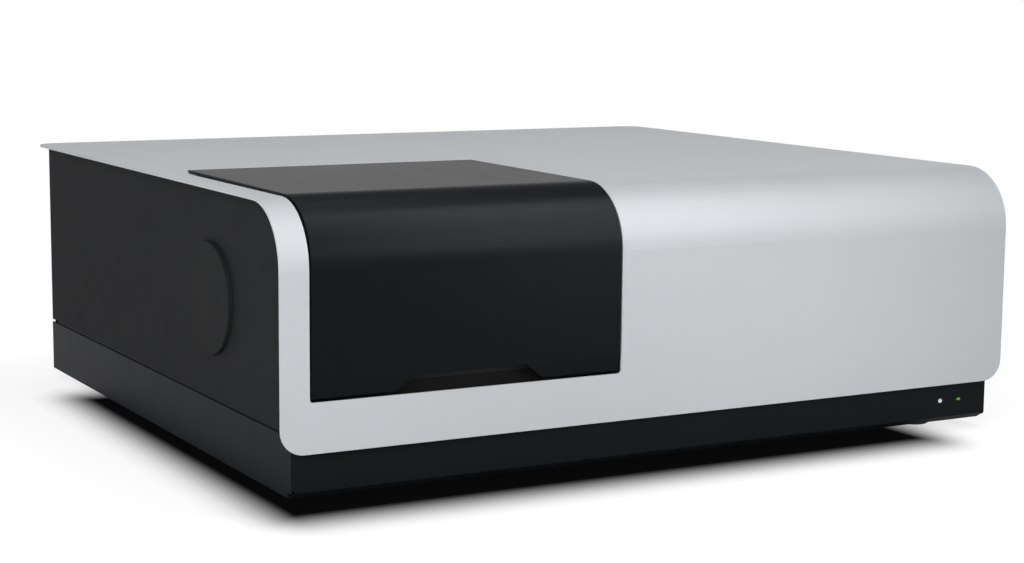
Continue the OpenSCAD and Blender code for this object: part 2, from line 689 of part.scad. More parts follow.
// Stand behind a mirror disc
module mirror_stand(p, a, b) translate([p[0], p[1], 0]) rotate(halfway(p, a, b)) {
    w = mirror_d + 6;
    block([-mirror_t - mount_t, -w / 2, mono_floor], [-mirror_t, w / 2, beam_z + w / 2]);
    block([-mirror_t - mount_t, -w / 2, mono_floor], [4, w / 2, mono_floor + 6]);
    for (s = [-1, 1]) bar_x([-mirror_t - mount_t - 5, s * 16, beam_z + 16], 8, 5);
}
// Triangular turret between two discs, on a shaft that goes down through the bench
module turret(p) translate([p[0], p[1], 0]) {
    side = grating_w + 6;
    bar_z([0, 0, bench_under + clear], turret_shaft_d, turret_z - bench_under);
    bar_z([0, 0, turret_z - 6], turret_d, 6);
    bar_z([0, 0, turret_top], turret_d, 4);
    rise(turret_z, turret_top) difference() {
        circle(side / sqrt(3), $fn = 3);
        circle(d = 8);
    }
}
module turret_gratings(p) translate([p[0], p[1], 0]) for (turn = [60 : 120 : 300]) rotate(turn)
    translate([(grating_w + 6) / (2 * sqrt(3)), -grating_w / 2, beam_z - grating_w / 2]) cube([8, grating_w, grating_w]);
// Slit plates on a block, open for the light along X
module slit_block() difference() {
    translate([0, -24, -24]) cube([14, 48, 48]);
    translate([3, -12, -slit_h / 2 - 4]) cube([12, 24, slit_h + 8]);
    translate([-1, -1, -slit_h / 2]) cube([5, 2, slit_h]);
}
// Filter wheel with six filter seats, turning about X
module filter_wheel() {
    rotate([0, 90, 0]) difference() {
        cylinder(d = wheel_d, h = wheel_t);
        for (a = [0 : 60 : 300]) rotate(a) translate([filter_ring_r, 0, 1]) cylinder(d = filter_d, h = wheel_t);
        for (a = [0 : 60 : 300]) rotate(a) translate([filter_ring_r, 0, -1]) cylinder(d = filter_d - 3, h = wheel_t);
    }
    bar_x([wheel_t, 0, 0], wheel_shaft_d, 8);
}
module wheel_filters() for (a = [0 : 60 : 300]) rotate([a, 0, 0])
    bar_x([1, 0, filter_ring_r], filter_d - 2 * seat, 3);
// Motor of a filter wheel on a bracket that stands on the casting's floor
module wheel_motor() difference() {
    union() {
        translate([wheel_t + 4, -motor_w / 2, -motor_w / 2]) cube([28, motor_w, motor_w]);
        translate([wheel_t + 4, -motor_w / 2, mono_floor - wheel_z]) cube([28, motor_w, wheel_z - mono_floor]);
    }
    bar_x([wheel_t + 3, 0, 0], wheel_shaft_d + 2 * run_fit, 6);
}
module ex_wheel_place() translate([ex_wheel_x, beam_y, wheel_z]) children();
module em_wheel_place() translate([lid_x, em_wheel_y, wheel_z]) rotate([0, 0, 90]) children();

// Excitation side

module excitation_housing() color([0.55, 0.56, 0.58]) difference() {
    casting(ex_x0, ex_y0, ex_x1, ex_y1);
    bar_x([ex_x0 - 1, beam_y, beam_z], port_d - 10, mono_t + 2);
    bar_y([lamp_x, ex_y1 - mono_t - 1, beam_z], port_d - 10, mono_t + 2);
    bar_z([ex_grating[0], ex_grating[1], bench_z - 1], turret_shaft_d + 2 * run_fit, mono_t + 2);
}
module excitation_lid() color([0.5, 0.51, 0.53]) casting_lid(ex_x0, ex_y0, ex_x1, ex_y1);
module excitation_turret() color([0.25, 0.25, 0.27]) turret(ex_grating);
module excitation_gratings() color([0.6, 0.7, 0.8]) turret_gratings(ex_grating);
module excitation_slits() color([0.1, 0.1, 0.11]) {
    translate([lamp_x, ex_y1 - mono_t, beam_z]) rotate([0, 0, -90]) slit_block();
    translate([ex_x0 + 100, beam_y, beam_z]) slit_block();
    translate([ex_x0 + 100, beam_y - 12, mono_floor]) cube([14, 24, beam_z - 24 - mono_floor]);
}
module excitation_filter_wheel() color([0.18, 0.18, 0.2]) ex_wheel_place() filter_wheel();
module excitation_filters() color([0.7, 0.85, 0.9, 0.6]) ex_wheel_place() wheel_filters();
blade_h = port_d;
module shutter_blade() color([0.2, 0.2, 0.2]) {
    block([shutter_x, beam_y - 20, beam_z - 16], [shutter_x + 1.5, beam_y + 20, beam_z + 16]);
    block([shutter_x, beam_y - 3, beam_z - 60], [shutter_x + 1.5, beam_y + 3, beam_z - 16]);
}
module shutter_solenoid() color([0.35, 0.3, 0.25]) difference() {
    block([shutter_x - 7, beam_y - 14, mono_floor], [shutter_x + 9, beam_y + 14, beam_z - 26]);
    block([shutter_x - clear, beam_y - 3 - clear, beam_z - 60 - clear], [shutter_x + 1.5 + clear, beam_y + 3 + clear, beam_z]);
}
module beam_splitter() color([0.8, 0.9, 0.95, 0.5]) translate([ex_x0 + 84, beam_y, 0]) rotate(45) {
    block([-1, -15, beam_z - 15], [1, 15, beam_z + 15]);
    block([-4, -10, mono_floor], [4, 10, beam_z - 15]);
}
module reference_detector() color([0.3, 0.32, 0.3]) {
    block([ex_x0 + 72, beam_y + 48, beam_z - 14], [ex_x0 + 96, beam_y + 70, beam_z + 14]);
    block([ex_x0 + 76, beam_y + 52, mono_floor], [ex_x0 + 92, beam_y + 66, beam_z - 14]);
}

// Emission side

module emission_housing() color([0.55, 0.56, 0.58]) difference() {
    casting(em_x0, em_y0, em_x1, em_y1);
    bar_y([lid_x, em_y0 - 1, beam_z], port_d - 10, mono_t + 2);
    bar_x([em_x1 - mono_t - 1, em_fold[1], beam_z], port_d - 20, mono_t + 2);
    bar_z([em_grating[0], em_grating[1], bench_z - 1], turret_shaft_d + 2 * run_fit, mono_t + 2);
}
module emission_lid() color([0.5, 0.51, 0.53]) casting_lid(em_x0, em_y0, em_x1, em_y1);
em_exit = [em_x1, em_fold[1]];
module monochromator_mirrors() color([0.85, 0.88, 0.9]) {
    mirror_disc(ex_collimator, ex_entry, ex_grating);
    mirror_disc(ex_focuser, ex_grating, ex_fold);
    mirror_disc(ex_fold, ex_focuser, [ex_x0, beam_y]);
    mirror_disc(em_collimator, em_entry, em_grating);
    mirror_disc(em_focuser, em_grating, em_fold);
    mirror_disc(em_fold, em_focuser, em_exit);
}
module mirror_mounts() color([0.2, 0.2, 0.21]) {
    mirror_stand(ex_collimator, ex_entry, ex_grating);
    mirror_stand(ex_focuser, ex_grating, ex_fold);
    mirror_stand(ex_fold, ex_focuser, [ex_x0, beam_y]);
    mirror_stand(em_collimator, em_entry, em_grating);
    mirror_stand(em_focuser, em_grating, em_fold);
    mirror_stand(em_fold, em_focuser, em_exit);
}
module emission_turret() color([0.25, 0.25, 0.27]) turret(em_grating);
module emission_gratings() color([0.6, 0.7, 0.8]) turret_gratings(em_grating);
module emission_slits() color([0.1, 0.1, 0.11])
    translate([em_x1 - mono_t - 14, em_fold[1], beam_z]) slit_block();
module emission_filter_wheel() color([0.18, 0.18, 0.2]) em_wheel_place() filter_wheel();
module emission_filters() color([0.7, 0.85, 0.9, 0.6]) em_wheel_place() wheel_filters();
// Motors of the filter wheels, and the turret drives that hang under the bench
module drive_motors() color([0.15, 0.15, 0.16]) {
    ex_wheel_place() wheel_motor();
    em_wheel_place() wheel_motor();
    for (p = [ex_grating, em_grating])
        block([p[0] - drive_w / 2, p[1] - drive_w / 2, floor_z + 2], [p[0] + drive_w / 2, p[1] + drive_w / 2, bench_under]);
}
module detector_housing() color([0.45, 0.46, 0.48]) {
    x = em_x1;
    y = em_fold[1];
    difference() {
        block([x, y - 34, beam_z - 70], [x + 76, y + 34, beam_z + 66]);
        bar_x([x - 1, y, beam_z], port_d - 20, 20);
        bar_z([x + 36, y, beam_z - 60], 40, 118);
    }
    for (s = [-1, 1]) block([x + 8, y + s * 22 - 5, bench_z], [x + 68, y + s * 22 + 5, beam_z - 70]);
}
module detector_tube() color([0.75, 0.8, 0.85]) bar_z([em_x1 + 36, em_fold[1], beam_z - 60], 28, 100);

// Lamp

module lamp_housing() color([0.5, 0.51, 0.53]) {
    x0 = lamp_x - lamp_w / 2;
    x1 = lamp_x + lamp_w / 2;
    difference() {
        block([x0, lamp_y0, bench_z], [x1, lamp_y1, mono_top]);
        block([x0 + lamp_t, lamp_y0 + lamp_t, bench_z + lamp_t], [x1 - lamp_t, lamp_y1 - lamp_t, mono_top - lamp_t]);
        bar_y([lamp_x, lamp_y0 - 1, beam_z], port_d, lamp_t + 2);
        for (s = [-4 : 4]) block([lamp_x + 12 * s - 3, lamp_y1 - lamp_t - 1, beam_z - 50], [lamp_x + 12 * s + 3, lamp_y1 + 1, beam_z + 50]);
    }
    difference() {
        bar_y([lamp_x, ex_y1, beam_z], port_d + 10, lamp_y0 - ex_y1);
        bar_y([lamp_x, ex_y1 - 1, beam_z], port_d, lamp_y0 - ex_y1 + 2);
    }
}
lamp_focus_y = lamp_y0 + 90;
module lamp_reflector() color([0.85, 0.86, 0.88]) {
    r = reflector_d / 2;
    translate([lamp_x, lamp_focus_y, beam_z]) rotate([90, 0, 0]) rotate_extrude() difference() {
        intersection() {
            circle(r);
            translate([14, -r]) square([r, r]);
        }
        circle(r - 4);
    }
    difference() {
        block([lamp_x - 6, lamp_focus_y, bench_z + lamp_t], [lamp_x + 6, lamp_focus_y + 30, beam_z - r + 8]);
        translate([lamp_x, lamp_focus_y, beam_z]) sphere(r - 2);
    }
}
module arc_lamp() color([0.9, 0.92, 0.95, 0.6]) {
    translate([lamp_x, lamp_focus_y, beam_z]) rotate([90, 0, 0]) rotate_extrude() {
        translate([0, -16]) intersection() {
            circle(12);
            translate([0, -12]) square([12, 24]);
        }
        translate([0, -70]) square([4.5, 90]);
        translate([0, 10]) square([8, 14]);
        translate([0, -lamp_l + 90 + lamp_t]) square([9, 60]);
    }
}
module lamp_duct() color([0.6, 0.61, 0.63]) {
    w = fan_w / 2;
    difference() {
        block([lamp_x - w, duct_y0, beam_z - w], [lamp_x + w, fan_y0, beam_z + w]);
        block([lamp_x - w + 2, duct_y0 - 1, beam_z - w + 2], [lamp_x + w - 2, fan_y0 + 1, beam_z + w - 2]);
    }
}
module fan_frame() color([0.08, 0.08, 0.08]) {
    w = fan_w / 2;
    difference() {
        block([lamp_x - w, fan_y0, beam_z - w], [lamp_x + w, fan_y1, beam_z + w]);
        bar_y([lamp_x, fan_y0 - 1, beam_z], fan_w - 6, fan_t + 2);
    }
    difference() {
        union() {
            bar_y([lamp_x, fan_y0, beam_z], 42, 4);
            bar_y([lamp_x, fan_y0, beam_z], 12, 14);
            for (a = [45 : 90 : 315]) translate([lamp_x, fan_y0, beam_z]) rotate([0, a, 0])
                translate([0, 0, -3]) cube([fan_w / 2 - 1, 3, 6]);
        }
        bar_y([lamp_x, fan_y0 - 1, beam_z], 5, 17);
    }
}
module fan_rotor() color([0.12, 0.12, 0.12]) translate([lamp_x, fan_y0 + 5, beam_z]) rotate([-90, 0, 0]) {
    tip = fan_w / 2 - 5;
    difference() {
        cylinder(d = 40, h = fan_t - 8);
        translate([0, 0, -1]) cylinder(d = 34, h = fan_t - 10);
    }
    translate([0, 0, -4.5]) cylinder(d = 5 - 2 * run_fit, h = fan_t - 6);
    for (a = [0 : 360 / 7 : 359]) rotate(a) translate([18, 0, (fan_t - 8) / 2]) rotate([38, 0, 0])
        translate([0, -10, -1]) cube([tip - 19, 20, 2]);
}
module fan_guard() color([0.8, 0.8, 0.82]) translate([lamp_x, rear_panel_y, beam_z]) rotate([-90, 0, 0]) {
    for (r = [14 : 10 : 54]) translate([0, 0, 3.2]) rotate_extrude() translate([r, 0]) circle(d = 2, $fn = 16);
    for (a = [0 : 90 : 270]) rotate(a) translate([10, -1, 1.4]) cube([fan_w / 2 - 12, 2, 2]);
    for (a = [45 : 90 : 315]) rotate(a) translate([fan_w * 0.62, 0, 0]) {
        cylinder(d = 10, h = 2);
        translate([-fan_w * 0.2, -1, 0]) cube([fan_w * 0.2, 2, 2]);
    }
}

// Rear panel and electronics

socket_x = lamp_x - 10;
vent_w = 6;
vent_h = 52;
module rear_panel() color([0.14, 0.15, 0.16]) difference() {
    block([-side_x + sheet_t + seat, rear_panel_y - sheet_t, foot_h + 4], [side_x - sheet_t - seat, rear_panel_y, cover_top - cover_t - seat]);
    bar_y([lamp_x, rear_panel_y - sheet_t - 1, beam_z], fan_w - 8, sheet_t + 2);
    along(rear_panel_y - sheet_t - 1, rear_panel_y + 1) socket_holes(seat);
    for (x = [supply_x0 : 14 : supply_x1 - vent_w], row = [0, 1]) along(rear_panel_y - sheet_t - 1, rear_panel_y + 1)
        translate([x, beam_z - 43 + (vent_h + 12) * row]) rounded([vent_w, vent_h], vent_w / 2 - 0.1);
}
// Holes for the mains inlet, the power switch, the data socket and the accessory socket
module socket_holes(grow) {
    translate([socket_x - 24 - grow, socket_z - 12 - grow]) square([48 + 2 * grow, 24 + 2 * grow]);
    translate([socket_x - 60 - grow, socket_z - 11 - grow]) square([14 + 2 * grow, 22 + 2 * grow]);
    translate([socket_x - 130 - grow, socket_z - 6 - grow]) square([12 + 2 * grow, 12 + 2 * grow]);
    translate([socket_x - 190 - grow, socket_z - 5 - grow]) square([30 + 2 * grow, 10 + 2 * grow]);
}
module rear_sockets() color([0.06, 0.06, 0.07]) {
    y = rear_panel_y;
    difference() {
        union() {
            along(y - 30, y + 3) translate([socket_x - 24, socket_z - 12]) square([48, 24]);
            along(y, y + 3) translate([socket_x - 28, socket_z - 15]) rounded([56, 30], 3);
        }
        along(y - 14, y + 4) polygon([
            [socket_x - 12, socket_z - 8], [socket_x + 12, socket_z - 8], [socket_x + 12, socket_z + 4],
            [socket_x + 8, socket_z + 8], [socket_x - 8, socket_z + 8], [socket_x - 12, socket_z + 4]
        ]);
    }
    for (p = [[-7, -2], [7, -2], [0, 2]]) block([socket_x + p[0] - 1, y - 16, socket_z + p[1] - 2], [socket_x + p[0] + 1, y - 1, socket_z + p[1] + 2]);
    difference() {
        union() {
            along(y - 20, y) translate([socket_x - 60, socket_z - 11]) square([14, 22]);
            along(y, y + 2) translate([socket_x - 63, socket_z - 14]) rounded([20, 28], 2);
        }
        along(y - 12, y + 3) translate([rocker_x - 5.3, socket_z - 10]) square([10.6, 20]);
    }
    bar_x([rocker_x - 5.3, rocker_y, socket_z], 3 - 2 * run_fit, 10.6);
    difference() {
        along(y - 14, y + 2) translate([socket_x - 130, socket_z - 6]) square([12, 12]);
        along(y - 10, y + 3) translate([socket_x - 128, socket_z - 4]) square([8, 8]);
    }
    difference() {
        along(y - 14, y + 3) translate([socket_x - 190, socket_z - 5]) square([30, 10]);
        along(y - 6, y + 4) translate([socket_x - 188, socket_z - 3]) square([26, 6]);
    }
}
rocker_x = socket_x - 53;
rocker_y = rear_panel_y - 2;
rocker_tilt = 8;
module power_rocker() color([0.1, 0.1, 0.1]) difference() {
    union() {
        bar_x([rocker_x - 5, rocker_y, socket_z], 7, 10);
        across(rocker_x - 5, rocker_x + 5) translate([rocker_y, socket_z]) rotate(rocker_tilt)
            polygon([[-2, -3], [3, -9], [5.2, -9], [3.4, 0], [5.2, 9], [3, 9], [-2, 3]]);
    }
    bar_x([rocker_x - 6, rocker_y, socket_z], 3, 12);
}
module power_supplies() color([0.6, 0.6, 0.62]) for (x = [supply_x0, supply_x0 + supply_w + supply_gap]) difference() {
    fin_pitch = 18;
    fin_depth = 3;
    block([x, supply_y0, floor_z], [x + supply_w, supply_y0 + supply_d, floor_z + supply_h]);
    for (side = [x - 1, x + supply_w - fin_depth], y = [supply_y0 + fin_pitch : fin_pitch : supply_y0 + supply_d - fin_pitch])
        block([side, y, floor_z + 25], [side + fin_depth + 1, y + 6, floor_z + supply_h - 20]);
}
// Board on four posts, with a row of chips and a row of connectors
module control_board() color([0.1, 0.35, 0.2]) {
    z = floor_z + 12;
    top = z + 2;
    inset = 8;
    chip_w = 24;
    plug_w = 46;
    w = supply_x1 - supply_x0;
    block([supply_x0, board_y0, z], [supply_x1, board_y0 + board_d, top]);
    for (x = [supply_x0 + inset, supply_x1 - inset], y = [board_y0 + inset, board_y0 + board_d - inset])
        bar_z([x, y, floor_z], 8, z - floor_z);
    for (i = [1 : 5]) translate([supply_x0 + w * i / 6 - chip_w / 2, board_y0 + 30, top]) cube([chip_w, chip_w, 3]);
    for (i = [1 : 3]) translate([supply_x0 + w * i / 4 - plug_w / 2, board_y0 + board_d - 21, top]) cube([plug_w, 14, 12]);
}

top_cover();
left_side_panel();
right_side_panel();
base_tray();
rear_panel();
feet();
sample_lid();
lid_seal();
lid_hinge_arms();
lid_hinge_shaft();
lid_hinge_bracket();
lid_magnets();
side_port_cover();
side_port_ring();
status_light();
power_arrow();
optical_bench();
bench_pillars();
sample_chamber();
sample_module();
module_handle();
cuvette_holder();
cuvette();
cuvette_stopper();
lens_mounts();
condenser_lenses();
excitation_housing();
excitation_lid();
monochromator_mirrors();
mirror_mounts();
excitation_turret();
excitation_gratings();
excitation_slits();
excitation_filter_wheel();
excitation_filters();
shutter_blade();
shutter_solenoid();
beam_splitter();
reference_detector();
emission_housing();
emission_lid();
emission_turret();
emission_gratings();
emission_slits();
emission_filter_wheel();
emission_filters();
drive_motors();
detector_housing();
detector_tube();
power_rocker();
lamp_housing();
lamp_reflector();
arc_lamp();
lamp_duct();
fan_frame();
fan_rotor();
fan_guard();
power_supplies();
control_board();
rear_sockets();
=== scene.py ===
"""Looks of the benchtop fluorometer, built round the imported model, in metres."""
import json
import math

import bpy
from mathutils import Matrix, Vector


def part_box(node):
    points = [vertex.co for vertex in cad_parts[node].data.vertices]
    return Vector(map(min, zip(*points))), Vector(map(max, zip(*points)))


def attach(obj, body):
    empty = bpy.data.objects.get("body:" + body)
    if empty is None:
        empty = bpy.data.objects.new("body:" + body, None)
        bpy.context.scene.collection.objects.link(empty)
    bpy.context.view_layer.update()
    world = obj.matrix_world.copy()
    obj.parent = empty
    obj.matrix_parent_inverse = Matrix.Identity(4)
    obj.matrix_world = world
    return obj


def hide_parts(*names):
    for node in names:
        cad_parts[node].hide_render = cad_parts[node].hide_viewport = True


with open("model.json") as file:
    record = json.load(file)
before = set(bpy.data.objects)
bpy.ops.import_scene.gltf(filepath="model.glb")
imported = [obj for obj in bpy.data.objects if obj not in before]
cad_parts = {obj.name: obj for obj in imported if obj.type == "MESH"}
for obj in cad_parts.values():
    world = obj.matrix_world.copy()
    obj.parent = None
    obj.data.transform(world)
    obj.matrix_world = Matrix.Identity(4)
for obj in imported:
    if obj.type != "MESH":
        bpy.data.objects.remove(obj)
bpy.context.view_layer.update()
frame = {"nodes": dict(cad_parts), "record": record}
nodes = frame["nodes"]
slots = {row["node"]: row["material_slot"] for row in frame["record"]["subparts"]}

# Camera, as fitted to the photograph's 1024 x 563 frame
LENS_MM = 72.863
SENSOR_MM = 36.0
CAMERA_CLIP = 60.0
CAMERA_AT = Vector((-1.2756, -2.3468, 0.5388))
CAMERA_TURN = math.radians(28.996)
CAMERA_DIP = math.radians(8.142)
CAMERA_ROLL = math.radians(0.4877)

# Variation in the finishes: noise features per metre and their detail, how far colour and roughness go from
# their value, and fixed values of glass, lenses and coats
COLOUR_CLOUDS = 9.0
COLOUR_DETAIL = 3.0
GLOSS_CLOUDS = 30.0
GLOSS_DETAIL = 4.0
GLASS_COLOUR_CLOUDS = 40.0
GLASS_GLOSS_CLOUDS = 60.0
LENS_GRAINS = 900.0
TINT_BAND = (0.3, 0.7)
PAINT_GLOSS_VARY = 0.08
METAL_GLOSS_VARY = 0.15
METAL_SHADES = (0.93, 1.05)
GLASS_SHADE = 0.98
GLASS_ROUGHNESS = (0.02, 0.032)
GLASS_IOR = 1.46
LENS_SHADE = 0.95
LENS_ROUGHNESS = 0.35
COAT_ROUGHNESS = 0.25

# Rounded edges by material slot, and nodes that keep their edges because their mesh is too fine for it
EDGE_MM = {"cover_paint": 0.5, "black_panel": 0.4, "port_cover": 0.6, "tray_paint": 0.5, "lid_paint": 0.7,
           "steel": 0.3, "dark_sheet": 0.4, "aluminium": 0.5, "bench_plate": 0.8, "chamber_black": 0.8,
           "module_black": 0.5, "casting": 1.2, "casting_lid": 0.6, "motor_black": 0.8, "coil": 0.6,
           "mount_black": 0.4, "black_plastic": 0.5, "supply_case": 0.6, "switch_black": 0.4,
           "white_plastic": 0.4, "foot_rubber": 0.5}
EDGE_SEGMENTS = 2
PLAIN_EDGES = ("rear_panel", "fan_guard", "feet")
# An edge is rounded if its faces turn by this much, once corners this close together are one
SHARP_FROM = math.radians(35)
WELD_WITHIN = 0.00001
# The lid's lip: where it starts, and how far it comes forward again for each metre below that
LIP_KINK_Z = 0.1336
LIP_OUT = 0.35
# Screws round the rear panel: radius of head and hexagon, heights above the panel, the part of the head's
# radius where the crown starts to round off, and steps round the head and over the crown
SCREW_R = 0.0038
SCREW_SOCKET = 0.00125
SCREW_SOCKET_FLOOR = 0.0009
SCREW_RIM = 0.0004
SCREW_CROWN = 0.0022
SCREW_FLAT = 0.62
SCREW_SIDES = 36
SCREW_STEPS = 4
# The screws' distance from the panel's edges, and their number along its top and bottom
SCREW_INSET = 0.011
SCREW_COLUMNS = 5

# Floor: half its size, its colour where it lights the object and where it is seen, the share of plain white
# in it near the object, and the distances from the middle between which that share becomes whole
FLOOR_HALF = 14.0
FLOOR_PLAIN = (0.80, 0.80, 0.80, 1)
FLOOR_SEEN = (1.30, 1.30, 1.30, 1)
FLOOR_GLOW = 0.75
FLOOR_FADE = (0.80, 1.25)
# The floor's soft shade near the object is painted, a ramp by distance from its foot, on top of what the
# lamps cast.
# The soft shade on the floor: corners of the foot it spreads from, its reach sideways and forward, its
# brightness at each multiple of that reach, and the multiple where the ramp between them ends
SHADE_FOOT = ((-0.467, -0.434), (0.345, 0.230))
SHADE_REACH = (0.050, 0.070)
SHADE_STEPS = ((0.0, 0.003), (0.10, 0.035), (0.28, 0.16), (0.45, 0.30), (0.60, 0.44), (0.80, 0.62),
               (0.96, 0.76), (1.10, 0.85), (1.30, 0.93), (1.55, 1.0))
SHADE_END = 2.0
# World: its light, where the ceiling starts and is full, as the height of a direction of length 1, and how
# bright the ceiling shows in mirrors and glass
WORLD_COLOUR = (0.95, 0.97, 1.0, 1)
WORLD_LIGHT = 0.08
CEILING_FROM = (0.10, 0.40)
CEILING_LIGHT = 0.25
BLACK = (0, 0, 0, 1)
WHITE = (1, 1, 1, 1)


def make_camera():
    """A camera at the photograph's place, turned to its right, dipped and rolled a little."""
    cam = bpy.data.objects.new("camera", bpy.data.cameras.new("camera"))
    bpy.context.scene.collection.objects.link(cam)
    cam.data.lens = LENS_MM
    cam.data.sensor_width = SENSOR_MM
    cam.data.clip_end = CAMERA_CLIP
    forward = Vector((math.sin(CAMERA_TURN) * math.cos(CAMERA_DIP),
                      math.cos(CAMERA_TURN) * math.cos(CAMERA_DIP),
                      -math.sin(CAMERA_DIP)))
    right = forward.cross(Vector((0, 0, 1))).normalized()
    up = right.cross(forward)
    cos, sin = math.cos(CAMERA_ROLL), math.sin(CAMERA_ROLL)
    axis_x = right * cos + up * sin
    axis_y = up * cos - right * sin
    turn = Matrix((axis_x, axis_y, -forward)).transposed()
    cam.matrix_world = Matrix.Translation(CAMERA_AT) @ turn.to_4x4()
    bpy.context.scene.camera = cam


# Helpers for material nodes

def new_material(name):
    """A node material, its tree and its Principled shader."""
    mat = bpy.data.materials.new(name)
    mat.use_nodes = True
    return mat, mat.node_tree, mat.node_tree.nodes["Principled BSDF"]


def noise(tree, scale, detail=2.0):
    """A noise texture in object coordinates, with that many features per metre."""
    coords = tree.nodes.new("ShaderNodeTexCoord")
    tex = tree.nodes.new("ShaderNodeTexNoise")
    tex.inputs["Scale"].default_value = scale
    tex.inputs["Detail"].default_value = detail
    tree.links.new(coords.outputs["Object"], tex.inputs["Vector"])
    return tex.outputs["Fac"]


def between(tree, value, low, high):
    """Maps a 0 to 1 value to between low and high."""
    node = tree.nodes.new("ShaderNodeMapRange")
    node.inputs["To Min"].default_value = low
    node.inputs["To Max"].default_value = high
    tree.links.new(value, node.inputs["Value"])
    return node.outputs["Result"]


def smooth_between(tree, value, start, end, low, high):
    """Goes smoothly from low to high while the value goes from start to end."""
    node = tree.nodes.new("ShaderNodeMapRange")
    node.interpolation_type = "SMOOTHSTEP"
    node.inputs["From Min"].default_value = start
    node.inputs["From Max"].default_value = end
    node.inputs["To Min"].default_value = low
    node.inputs["To Max"].default_value = high
    tree.links.new(value, node.inputs["Value"])
    return node.outputs["Result"]


def bump(tree, shader, height, distance):
    """Feeds a height into the shader's normal."""
    node = tree.nodes.new("ShaderNodeBump")
    node.inputs["Distance"].default_value = distance
    tree.links.new(height, node.inputs["Height"])
    tree.links.new(node.outputs["Normal"], shader.inputs["Normal"])


def tint(tree, shader, value, dark, light):
    """Colours the shader between two colours by a value."""
    ramp = tree.nodes.new("ShaderNodeValToRGB")
    for element, position, colour in zip(ramp.color_ramp.elements, TINT_BAND, (dark, light)):
        element.position = position
        element.color = (*colour, 1)
    tree.links.new(value, ramp.inputs["Fac"])
    tree.links.new(ramp.outputs["Color"], shader.inputs["Base Color"])


def scaled(colour, factor):
    """A darker or lighter colour of the same hue."""
    return tuple(c * factor for c in colour)


def feed(tree, socket, value):
    """Links a node's output to a socket, or sets the socket to a plain value."""
    if isinstance(value, bpy.types.NodeSocket):
        tree.links.new(value, socket)
    else:
        socket.default_value = value


def value_math(tree, operation, first, second):
    """One Math node on two values or links."""
    node = tree.nodes.new("ShaderNodeMath")
    node.operation = operation
    feed(tree, node.inputs[0], first)
    feed(tree, node.inputs[1], second)
    return node.outputs["Value"]


def vector_math(tree, operation, first, second):
    """One Vector Math node on two vectors or links."""
    node = tree.nodes.new("ShaderNodeVectorMath")
    node.operation = operation
    feed(tree, node.inputs[0], first)
    feed(tree, node.inputs[1], second)
    return node.outputs["Vector"]


def length(tree, vector):
    """The length of a linked vector."""
    node = tree.nodes.new("ShaderNodeVectorMath")
    node.operation = "LENGTH"
    tree.links.new(vector, node.inputs[0])
    return node.outputs["Value"]


def mix_colour(tree, fac, first, second):
    """Mixes two colours, each a value or a link, by a linked factor."""
    node = tree.nodes.new("ShaderNodeMix")
    node.data_type = "RGBA"
    # The Mix node names its sockets alike for each kind of data; the colour ones are inputs 6 and 7, output 2
    tree.links.new(fac, node.inputs["Factor"])
    feed(tree, node.inputs[6], first)
    feed(tree, node.inputs[7], second)
    return node.outputs[2]


def mix_shader(tree, fac, first, second):
    """Mixes two linked shaders by a linked factor."""
    node = tree.nodes.new("ShaderNodeMixShader")
    tree.links.new(fac, node.inputs["Fac"])
    tree.links.new(first, node.inputs[1])
    tree.links.new(second, node.inputs[2])
    return node.outputs["Shader"]


def seen(tree):
    """1 for rays that show the background: from the camera, or by way of a mirror or through glass."""
    path = tree.nodes.new("ShaderNodeLightPath")
    direct = value_math(tree, "MAXIMUM", path.outputs["Is Camera Ray"], path.outputs["Is Glossy Ray"])
    return value_math(tree, "MAXIMUM", direct, path.outputs["Is Transmission Ray"])


# Finishes

def paint(name, colour, rough, texture_mm=0.6, depth_mm=0.01,
          metallic=0.0, vary=0.04, coat=0.0, specular=0.5):
    """Sprayed paint or powder coat: fine orange peel, and a little variation in colour and gloss."""
    mat, tree, shader = new_material(name)
    shader.inputs["Metallic"].default_value = metallic
    shader.inputs["Coat Weight"].default_value = coat
    shader.inputs["Coat Roughness"].default_value = COAT_ROUGHNESS
    shader.inputs["Specular IOR Level"].default_value = specular
    clouds = noise(tree, COLOUR_CLOUDS, COLOUR_DETAIL)
    tint(tree, shader, clouds, scaled(colour, 1 - vary), scaled(colour, 1 + vary))
    gloss = between(tree, noise(tree, GLOSS_CLOUDS, GLOSS_DETAIL),
                    rough * (1 - PAINT_GLOSS_VARY), rough * (1 + PAINT_GLOSS_VARY))
    tree.links.new(gloss, shader.inputs["Roughness"])
    bump(tree, shader, noise(tree, 1000.0 / texture_mm), depth_mm / 1000.0)
    return mat


def metal(name, colour, rough, grain_mm=0.4, depth_mm=0.004, finer=(1, 1, 1)):
    """Machined or brushed metal; finer says how many times finer its grain is along x, y and z."""
    mat, tree, shader = new_material(name)
    shader.inputs["Metallic"].default_value = 1.0
    coords = tree.nodes.new("ShaderNodeTexCoord")
    mapping = tree.nodes.new("ShaderNodeMapping")
    mapping.inputs["Scale"].default_value = finer
    grain = tree.nodes.new("ShaderNodeTexNoise")
    grain.inputs["Scale"].default_value = 1000.0 / grain_mm
    tree.links.new(coords.outputs["Object"], mapping.inputs["Vector"])
    tree.links.new(mapping.outputs["Vector"], grain.inputs["Vector"])
    fac = grain.outputs["Fac"]
    dark, light = METAL_SHADES
    tint(tree, shader, fac, scaled(colour, dark), scaled(colour, light))
    gloss = between(tree, fac, rough * (1 - METAL_GLOSS_VARY), rough * (1 + METAL_GLOSS_VARY))
    tree.links.new(gloss, shader.inputs["Roughness"])
    bump(tree, shader, fac, depth_mm / 1000.0)
    return mat


